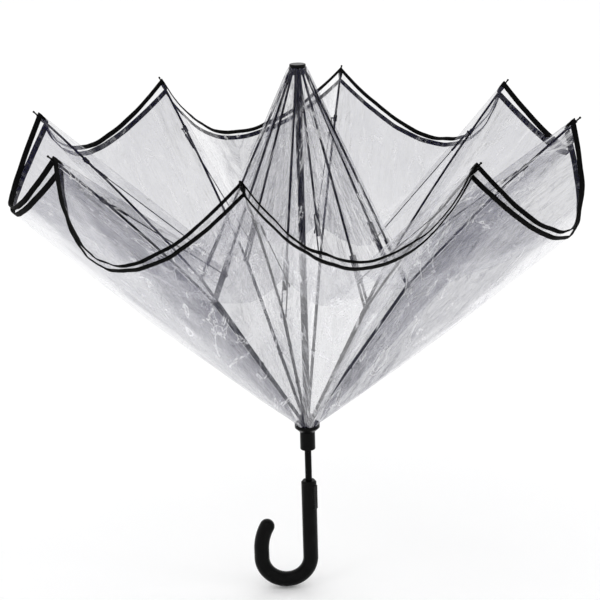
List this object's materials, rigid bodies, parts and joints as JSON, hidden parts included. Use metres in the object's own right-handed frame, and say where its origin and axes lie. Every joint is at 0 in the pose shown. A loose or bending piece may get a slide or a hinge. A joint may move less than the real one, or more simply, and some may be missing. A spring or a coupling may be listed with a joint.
{
  "type": "reverse-folding umbrella",
  "caption": "Half-folded reverse umbrella: clear double film canopy on black ribs, sliding runner on a slim shaft, flat crown cap and J-shaped handle with a release button.",
  "frame": {"origin": "on the shaft's axis, in the middle of the straight grip, where a hand holds it", "axes": "+Z along the shaft towards the crown, hook of the handle towards -X"},
  "size_m": [0.831, 0.831, 0.8],
  "materials": {
    "clear_film": "clear glossy film",
    "black_steel": "semi-gloss black",
    "black_rod": "satin black fibreglass",
    "black_plastic": "gloss black",
    "grip_black": "satin black",
    "button_black": "satin black",
    "steel": "plain wire"
  },
  "bodies": {
    "root": {"shaft_tube": "black_steel", "runner_stop_pin": "steel", "opening_spring": "steel", "spring_seat": "black_plastic", "crown_notch": "black_plastic", "crown_wire": "steel", "crown_cap": "black_plastic", "upper_film_centre": "clear_film", "handle_grip": "grip_black", "button_spring": "steel", "latch_leaf": "steel"},
    "button": {"release_button": "button_black"},
    "runner": {"runner_sleeve": "black_plastic", "runner_notch": "black_plastic", "runner_wire": "steel", "runner_cup": "black_plastic"},
    "main_rib_body_1": {"main_rib_1": "black_rod", "rib_fittings_1": "black_steel"},
    "crown_rib_body_1": {"crown_rib_1": "black_steel"},
    "canopy_body_1a": {"canopy_half_1a": "clear_film"},
    "canopy_body_1b": {"canopy_half_1b": "clear_film"},
    "main_rib_body_2": {"main_rib_2": "black_rod", "rib_fittings_2": "black_steel"},
    "crown_rib_body_2": {"crown_rib_2": "black_steel"},
    "canopy_body_2a": {"canopy_half_2a": "clear_film"},
    "canopy_body_2b": {"canopy_half_2b": "clear_film"},
    "main_rib_body_3": {"main_rib_3": "black_rod", "rib_fittings_3": "black_steel"},
    "crown_rib_body_3": {"crown_rib_3": "black_steel"},
    "canopy_body_3a": {"canopy_half_3a": "clear_film"},
    "canopy_body_3b": {"canopy_half_3b": "clear_film"},
    "main_rib_body_4": {"main_rib_4": "black_rod", "rib_fittings_4": "black_steel"},
    "crown_rib_body_4": {"crown_rib_4": "black_steel"},
    "canopy_body_4a": {"canopy_half_4a": "clear_film"},
    "canopy_body_4b": {"canopy_half_4b": "clear_film"},
    "main_rib_body_5": {"main_rib_5": "black_rod", "rib_fittings_5": "black_steel"},
    "crown_rib_body_5": {"crown_rib_5": "black_steel"},
    "canopy_body_5a": {"canopy_half_5a": "clear_film"},
    "canopy_body_5b": {"canopy_half_5b": "clear_film"},
    "main_rib_body_6": {"main_rib_6": "black_rod", "rib_fittings_6": "black_steel"},
    "crown_rib_body_6": {"crown_rib_6": "black_steel"},
    "canopy_body_6a": {"canopy_half_6a": "clear_film"},
    "canopy_body_6b": {"canopy_half_6b": "clear_film"},
    "main_rib_body_7": {"main_rib_7": "black_rod", "rib_fittings_7": "black_steel"},
    "crown_rib_body_7": {"crown_rib_7": "black_steel"},
    "canopy_body_7a": {"canopy_half_7a": "clear_film"},
    "canopy_body_7b": {"canopy_half_7b": "clear_film"},
    "main_rib_body_8": {"main_rib_8": "black_rod", "rib_fittings_8": "black_steel"},
    "crown_rib_body_8": {"crown_rib_8": "black_steel"},
    "canopy_body_8a": {"canopy_half_8a": "clear_film"},
    "canopy_body_8b": {"canopy_half_8b": "clear_film"}
  },
  "joints": [
    {"name": "runner_slide", "type": "slide", "parent": "root", "child": "runner", "axis": [0, 0, 1], "range_m": [-0.045, 0.383], "deforming": ["opening_spring", "upper_film_centre", "canopy_half_1a", "canopy_half_1b", "canopy_half_2a", "canopy_half_2b", "canopy_half_3a", "canopy_half_3b", "canopy_half_4a", "canopy_half_4b", "canopy_half_5a", "canopy_half_5b", "canopy_half_6a", "canopy_half_6b", "canopy_half_7a", "canopy_half_7b", "canopy_half_8a", "canopy_half_8b"]},
    {"name": "button_press", "type": "slide", "parent": "root", "child": "button", "axis": [-0.8192, 0.5736, 0], "range_m": [0, 0.0015], "stiffness_N_per_m": 600, "springref_m": -0.002, "deforming": ["button_spring"]},
    {"name": "main_rib_hinge_1", "type": "hinge", "parent": "runner", "child": "main_rib_body_1", "pos_m": [-0.00983, 0.00184, 0.163], "axis": [-0.184, -0.9829, 0], "range_deg": [-10.15, 84.12]},
    {"name": "crown_rib_hinge_1", "type": "hinge", "parent": "root", "child": "crown_rib_body_1", "pos_m": [-0.00983, 0.00184, 0.683], "axis": [-0.184, -0.9829, 0], "range_deg": [-17.25, 2.29]},
    {"name": "canopy_fold_1a", "type": "hinge", "parent": "main_rib_body_1", "child": "canopy_body_1a", "pos_m": [-0.00983, 0.00184, 0.163], "axis": [-0.6253, 0.117, 0.7716], "range_deg": [-23.7, 3.05]},
    {"name": "canopy_fold_1b", "type": "hinge", "parent": "main_rib_body_1", "child": "canopy_body_1b", "pos_m": [-0.00983, 0.00184, 0.163], "axis": [-0.6253, 0.117, 0.7716], "range_deg": [-3.05, 23.7]},
    {"name": "main_rib_hinge_2", "type": "hinge", "parent": "runner", "child": "main_rib_body_2", "pos_m": [-0.00825, -0.00565, 0.163], "axis": [0.565, -0.8251, 0], "range_deg": [-10.15, 84.12]},
    {"name": "crown_rib_hinge_2", "type": "hinge", "parent": "root", "child": "crown_rib_body_2", "pos_m": [-0.00825, -0.00565, 0.683], "axis": [0.565, -0.8251, 0], "range_deg": [-17.25, 2.29]},
    {"name": "canopy_fold_2a", "type": "hinge", "parent": "main_rib_body_2", "child": "canopy_body_2a", "pos_m": [-0.00825, -0.00565, 0.163], "axis": [-0.5249, -0.3594, 0.7716], "range_deg": [-23.7, 3.05]},
    {"name": "canopy_fold_2b", "type": "hinge", "parent": "main_rib_body_2", "child": "canopy_body_2b", "pos_m": [-0.00825, -0.00565, 0.163], "axis": [-0.5249, -0.3594, 0.7716], "range_deg": [-3.05, 23.7]},
    {"name": "main_rib_hinge_3", "type": "hinge", "parent": "runner", "child": "main_rib_body_3", "pos_m": [-0.00184, -0.00983, 0.163], "axis": [0.9829, -0.184, 0], "range_deg": [-10.15, 84.12]},
    {"name": "crown_rib_hinge_3", "type": "hinge", "parent": "root", "child": "crown_rib_body_3", "pos_m": [-0.00184, -0.00983, 0.683], "axis": [0.9829, -0.184, 0], "range_deg": [-17.25, 2.29]},
    {"name": "canopy_fold_3a", "type": "hinge", "parent": "main_rib_body_3", "child": "canopy_body_3a", "pos_m": [-0.00184, -0.00983, 0.163], "axis": [-0.117, -0.6253, 0.7716], "range_deg": [-23.7, 3.05]},
    {"name": "canopy_fold_3b", "type": "hinge", "parent": "main_rib_body_3", "child": "canopy_body_3b", "pos_m": [-0.00184, -0.00983, 0.163], "axis": [-0.117, -0.6253, 0.7716], "range_deg": [-3.05, 23.7]},
    {"name": "main_rib_hinge_4", "type": "hinge", "parent": "runner", "child": "main_rib_body_4", "pos_m": [0.00565, -0.00825, 0.163], "axis": [0.8251, 0.565, 0], "range_deg": [-10.15, 84.12]},
    {"name": "crown_rib_hinge_4", "type": "hinge", "parent": "root", "child": "crown_rib_body_4", "pos_m": [0.00565, -0.00825, 0.683], "axis": [0.8251, 0.565, 0], "range_deg": [-17.25, 2.29]},
    {"name": "canopy_fold_4a", "type": "hinge", "parent": "main_rib_body_4", "child": "canopy_body_4a", "pos_m": [0.00565, -0.00825, 0.163], "axis": [0.3594, -0.5249, 0.7716], "range_deg": [-23.7, 3.05]},
    {"name": "canopy_fold_4b", "type": "hinge", "parent": "main_rib_body_4", "child": "canopy_body_4b", "pos_m": [0.00565, -0.00825, 0.163], "axis": [0.3594, -0.5249, 0.7716], "range_deg": [-3.05, 23.7]},
    {"name": "main_rib_hinge_5", "type": "hinge", "parent": "runner", "child": "main_rib_body_5", "pos_m": [0.00983, -0.00184, 0.163], "axis": [0.184, 0.9829, 0], "range_deg": [-10.15, 84.12]},
    {"name": "crown_rib_hinge_5", "type": "hinge", "parent": "root", "child": "crown_rib_body_5", "pos_m": [0.00983, -0.00184, 0.683], "axis": [0.184, 0.9829, 0], "range_deg": [-17.25, 2.29]},
    {"name": "canopy_fold_5a", "type": "hinge", "parent": "main_rib_body_5", "child": "canopy_body_5a", "pos_m": [0.00983, -0.00184, 0.163], "axis": [0.6253, -0.117, 0.7716], "range_deg": [-23.7, 3.05]},
    {"name": "canopy_fold_5b", "type": "hinge", "parent": "main_rib_body_5", "child": "canopy_body_5b", "pos_m": [0.00983, -0.00184, 0.163], "axis": [0.6253, -0.117, 0.7716], "range_deg": [-3.05, 23.7]},
    {"name": "main_rib_hinge_6", "type": "hinge", "parent": "runner", "child": "main_rib_body_6", "pos_m": [0.00825, 0.00565, 0.163], "axis": [-0.565, 0.8251, 0], "range_deg": [-10.15, 84.12]},
    {"name": "crown_rib_hinge_6", "type": "hinge", "parent": "root", "child": "crown_rib_body_6", "pos_m": [0.00825, 0.00565, 0.683], "axis": [-0.565, 0.8251, 0], "range_deg": [-17.25, 2.29]},
    {"name": "canopy_fold_6a", "type": "hinge", "parent": "main_rib_body_6", "child": "canopy_body_6a", "pos_m": [0.00825, 0.00565, 0.163], "axis": [0.5249, 0.3594, 0.7716], "range_deg": [-23.7, 3.05]},
    {"name": "canopy_fold_6b", "type": "hinge", "parent": "main_rib_body_6", "child": "canopy_body_6b", "pos_m": [0.00825, 0.00565, 0.163], "axis": [0.5249, 0.3594, 0.7716], "range_deg": [-3.05, 23.7]},
    {"name": "main_rib_hinge_7", "type": "hinge", "parent": "runner", "child": "main_rib_body_7", "pos_m": [0.00184, 0.00983, 0.163], "axis": [-0.9829, 0.184, 0], "range_deg": [-10.15, 84.12]},
    {"name": "crown_rib_hinge_7", "type": "hinge", "parent": "root", "child": "crown_rib_body_7", "pos_m": [0.00184, 0.00983, 0.683], "axis": [-0.9829, 0.184, 0], "range_deg": [-17.25, 2.29]},
    {"name": "canopy_fold_7a", "type": "hinge", "parent": "main_rib_body_7", "child": "canopy_body_7a", "pos_m": [0.00184, 0.00983, 0.163], "axis": [0.117, 0.6253, 0.7716], "range_deg": [-23.7, 3.05]},
    {"name": "canopy_fold_7b", "type": "hinge", "parent": "main_rib_body_7", "child": "canopy_body_7b", "pos_m": [0.00184, 0.00983, 0.163], "axis": [0.117, 0.6253, 0.7716], "range_deg": [-3.05, 23.7]},
    {"name": "main_rib_hinge_8", "type": "hinge", "parent": "runner", "child": "main_rib_body_8", "pos_m": [-0.00565, 0.00825, 0.163], "axis": [-0.8251, -0.565, 0], "range_deg": [-10.15, 84.12]},
    {"name": "crown_rib_hinge_8", "type": "hinge", "parent": "root", "child": "crown_rib_body_8", "pos_m": [-0.00565, 0.00825, 0.683], "axis": [-0.8251, -0.565, 0], "range_deg": [-17.25, 2.29]},
    {"name": "canopy_fold_8a", "type": "hinge", "parent": "main_rib_body_8", "child": "canopy_body_8a", "pos_m": [-0.00565, 0.00825, 0.163], "axis": [-0.3594, 0.5249, 0.7716], "range_deg": [-23.7, 3.05]},
    {"name": "canopy_fold_8b", "type": "hinge", "parent": "main_rib_body_8", "child": "canopy_body_8b", "pos_m": [-0.00565, 0.00825, 0.163], "axis": [-0.3594, 0.5249, 0.7716], "range_deg": [-3.05, 23.7]}
  ],
  "couplings": [
    {"joint": "main_rib_hinge_1", "follows": "runner_slide", "rad_per_m": 3.8199},
    {"joint": "crown_rib_hinge_1", "follows": "runner_slide", "rad_per_m": -0.77223},
    {"joint": "canopy_fold_1a", "follows": "runner_slide", "rad_per_m": -1.0663},
    {"joint": "canopy_fold_1b", "follows": "runner_slide", "rad_per_m": 1.0663},
    {"joint": "main_rib_hinge_2", "follows": "runner_slide", "rad_per_m": 3.8199},
    {"joint": "crown_rib_hinge_2", "follows": "runner_slide", "rad_per_m": -0.77223},
    {"joint": "canopy_fold_2a", "follows": "runner_slide", "rad_per_m": -1.0663},
    {"joint": "canopy_fold_2b", "follows": "runner_slide", "rad_per_m": 1.0663},
    {"joint": "main_rib_hinge_3", "follows": "runner_slide", "rad_per_m": 3.8199},
    {"joint": "crown_rib_hinge_3", "follows": "runner_slide", "rad_per_m": -0.77223},
    {"joint": "canopy_fold_3a", "follows": "runner_slide", "rad_per_m": -1.0663},
    {"joint": "canopy_fold_3b", "follows": "runner_slide", "rad_per_m": 1.0663},
    {"joint": "main_rib_hinge_4", "follows": "runner_slide", "rad_per_m": 3.8199},
    {"joint": "crown_rib_hinge_4", "follows": "runner_slide", "rad_per_m": -0.77223},
    {"joint": "canopy_fold_4a", "follows": "runner_slide", "rad_per_m": -1.0663},
    {"joint": "canopy_fold_4b", "follows": "runner_slide", "rad_per_m": 1.0663},
    {"joint": "main_rib_hinge_5", "follows": "runner_slide", "rad_per_m": 3.8199},
    {"joint": "crown_rib_hinge_5", "follows": "runner_slide", "rad_per_m": -0.77223},
    {"joint": "canopy_fold_5a", "follows": "runner_slide", "rad_per_m": -1.0663},
    {"joint": "canopy_fold_5b", "follows": "runner_slide", "rad_per_m": 1.0663},
    {"joint": "main_rib_hinge_6", "follows": "runner_slide", "rad_per_m": 3.8199},
    {"joint": "crown_rib_hinge_6", "follows": "runner_slide", "rad_per_m": -0.77223},
    {"joint": "canopy_fold_6a", "follows": "runner_slide", "rad_per_m": -1.0663},
    {"joint": "canopy_fold_6b", "follows": "runner_slide", "rad_per_m": 1.0663},
    {"joint": "main_rib_hinge_7", "follows": "runner_slide", "rad_per_m": 3.8199},
    {"joint": "crown_rib_hinge_7", "follows": "runner_slide", "rad_per_m": -0.77223},
    {"joint": "canopy_fold_7a", "follows": "runner_slide", "rad_per_m": -1.0663},
    {"joint": "canopy_fold_7b", "follows": "runner_slide", "rad_per_m": 1.0663},
    {"joint": "main_rib_hinge_8", "follows": "runner_slide", "rad_per_m": 3.8199},
    {"joint": "crown_rib_hinge_8", "follows": "runner_slide", "rad_per_m": -0.77223},
    {"joint": "canopy_fold_8a", "follows": "runner_slide", "rad_per_m": -1.0663},
    {"joint": "canopy_fold_8b", "follows": "runner_slide", "rad_per_m": 1.0663}
  ]
}
